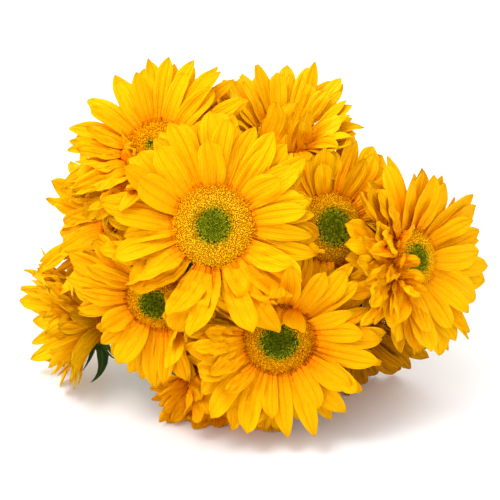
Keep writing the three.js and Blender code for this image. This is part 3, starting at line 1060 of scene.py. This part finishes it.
def add_bristles(number, head, matrix):
    """Fine hairs down the stem and round the cup."""
    path = stem_path(number, head, matrix)
    draw = head["draw"]
    places, normals = [], []
    for _ in range(STEM_BRISTLES):
        share, turn = draw.uniform(0.02, 1), draw.uniform(0, 2 * math.pi)
        place, way = bend_point(path, share)
        aside = way.cross(ACROSS if abs(way.x) < 0.8 else UP).normalized()
        outward = Matrix.Rotation(turn, 3, way) @ aside
        places.append(place + outward * STEM_RADIUS * 0.9)
        normals.append(outward)
    for _ in range(CUP_BRISTLES):
        share, turn = draw.uniform(0.1, 0.9), draw.uniform(0, 2 * math.pi)
        outward = Vector((math.cos(turn), math.sin(turn), -0.6)).normalized()
        radius = calyx_radius(head, share) * 0.98
        height = CALYX_FOOT + share * CALYX_DEPTH
        places.append(matrix @ Vector((radius * math.cos(turn), radius * math.sin(turn), height)))
        normals.append(matrix.to_3x3() @ outward)
    kept = [place.z > BARE_HEIGHT for place in places]
    places = np.array([place for place, keep in zip(places, kept) if keep])
    normals = np.array([normal for normal, keep in zip(normals, kept) if keep])
    count = len(places)
    scattered(
        f"bristles_{label(number)}", BRISTLE, places, normals, draw.uniform(0, 2 * np.pi, count),
        BRISTLE_SIZE * draw.uniform(0.6, 1.3, count), np.zeros(count), ["bristle"], "stem",
        f"stem_{label(number)}", f"calyx_{label(number)}")


# The bunch
def disc_obstacle(head, matrix):
    """A coarse disc that other heads' rays keep clear of, of three rings of twelve corners."""
    turns = np.linspace(0, 2 * np.pi, 13)[:-1]
    rings = [(head["disc"], -DISC_DEPTH), (head["disc"], 0), (head["disc"] * 0.6, DISC_RISE)]
    corners = [
        matrix @ Vector((radius * math.cos(turn), radius * math.sin(turn), height))
        for radius, height in rings for turn in turns
    ]
    return corners, ring_faces(3, 12) + [list(range(24, 36))]


def node_obstacle(name):
    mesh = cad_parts[name].data
    return [v.co.copy() for v in mesh.vertices], [list(face.vertices) for face in mesh.polygons]


def add_bunch():
    crowd = Crowd()
    matrices = [head_matrix(head) for head in HEADS]
    for number, (head, matrix) in enumerate(zip(HEADS, matrices)):
        head["draw"] = np.random.default_rng(head["seed"])
        crowd.add(number, *disc_obstacle(head, matrix))
        crowd.add(number, *node_obstacle(f"calyx_{label(number)}"))
        crowd.add(number, *node_obstacle(f"stem_{label(number)}"))
    stalk = add_stalk()
    for number, (head, matrix) in enumerate(zip(HEADS, matrices)):
        fitted = [blade_that_fits(ray, matrix, crowd, number) for ray in rays_of(number, head)]
        rays = [ray for ray in fitted if ray]
        for ray in rays:
            crowd.add(number, coarse_corners(ray, matrix), COARSE_FACES.tolist())
        # a head in shade takes the tones of painted shade
        kind, tones = ("painted_shade", PAINTED_SHADE_TONES) if head.get("painted_shade") else ("ray", RAY_TONES)
        joined_blades(
            f"rays_{label(number)}", head, rays, matrix, RAY_ROWS, RAY_COLUMNS, ray_tone,
            [f"{kind}_{tone}" for tone in range(len(tones))], "ray", f"bloom_{label(number)}")
        joined_blades(
            f"bracts_{label(number)}", head, bracts_of(number, head), matrix, BRACT_ROWS,
            BRACT_COLUMNS, bract_tone, [f"bract_{tone}" for tone in range(len(BRACT_TONES))],
            "calyx", f"calyx_{label(number)}")
        add_disc(number, head, matrix)
        add_disc_bed(number, head, matrix)
        add_calyx_cup(number, head, matrix)
        add_stem(number, head, matrix, stalk)
        add_bristles(number, head, matrix)
    bpy.data.objects.remove(stalk)


add_bunch()


# Studio
def add_floor():
    bpy.ops.object.select_all(action="DESELECT")
    bpy.ops.mesh.primitive_plane_add(size=12)
    floor = start_piece("floor")
    finish = Finish("pale floor", "f6f6f6", 0.9)
    finish.relief(finish.noise(40), 0.0001)
    floor.data.materials.append(finish.material)


def add_lamp(name, place, aim, size, power):
    lamp = bpy.data.lights.new(name, "AREA")
    lamp.shape = "DISK"
    lamp.size = size
    lamp.energy = power
    holder = bpy.data.objects.new(name, lamp)
    holder.location = place
    holder.rotation_euler = (aim - place).to_track_quat("-Z", "Y").to_euler()
    bpy.context.scene.collection.objects.link(holder)


def add_camera():
    across, high = CENTER_PIXEL
    middle = PICTURE / 2
    aim = CENTER + ACROSS * (middle - across) * PIXEL + UP * (high - middle) * PIXEL
    aim = aim + BACK * AIM_BACK
    camera = bpy.data.cameras.new("camera")
    camera.sensor_fit = "HORIZONTAL"
    camera.angle = 2 * math.atan(PICTURE * PIXEL / 2 / CAMERA_DISTANCE)
    camera.clip_end = 50
    holder = bpy.data.objects.new("camera", camera)
    holder.location = aim - BACK * CAMERA_DISTANCE
    holder.rotation_euler = BACK.to_track_quat("-Z", "Y").to_euler()
    bpy.context.scene.collection.objects.link(holder)
    bpy.context.scene.camera = holder


def light_studio():
    """A white tent of light, brighter from above and from the left, and one large soft lamp."""
    world = bpy.data.worlds.new("studio")
    world.use_nodes = True
    tree = world.node_tree
    way = tree.nodes.new("ShaderNodeTexCoord").outputs["Generated"]
    slope = tree.nodes.new("ShaderNodeVectorMath")
    slope.operation = "DOT_PRODUCT"
    tree.links.new(way, slope.inputs[0])
    slope.inputs[1].default_value = TENT_SLOPE
    tree.nodes["Background"].inputs["Color"].default_value = (1, 1, 1, 1)
    strength = Value(tree, slope.outputs["Value"]) + TENT_LIGHT
    tree.links.new(strength.socket, tree.nodes["Background"].inputs["Strength"])
    bpy.context.scene.world = world
    bpy.context.scene.view_settings.view_transform = "Standard"
    add_lamp("key", CENTER + UP * 1.3 - BACK * 1.2 - ACROSS * 0.75, CENTER, 0.9, KEY_POWER)


add_floor()
add_camera()
light_studio()
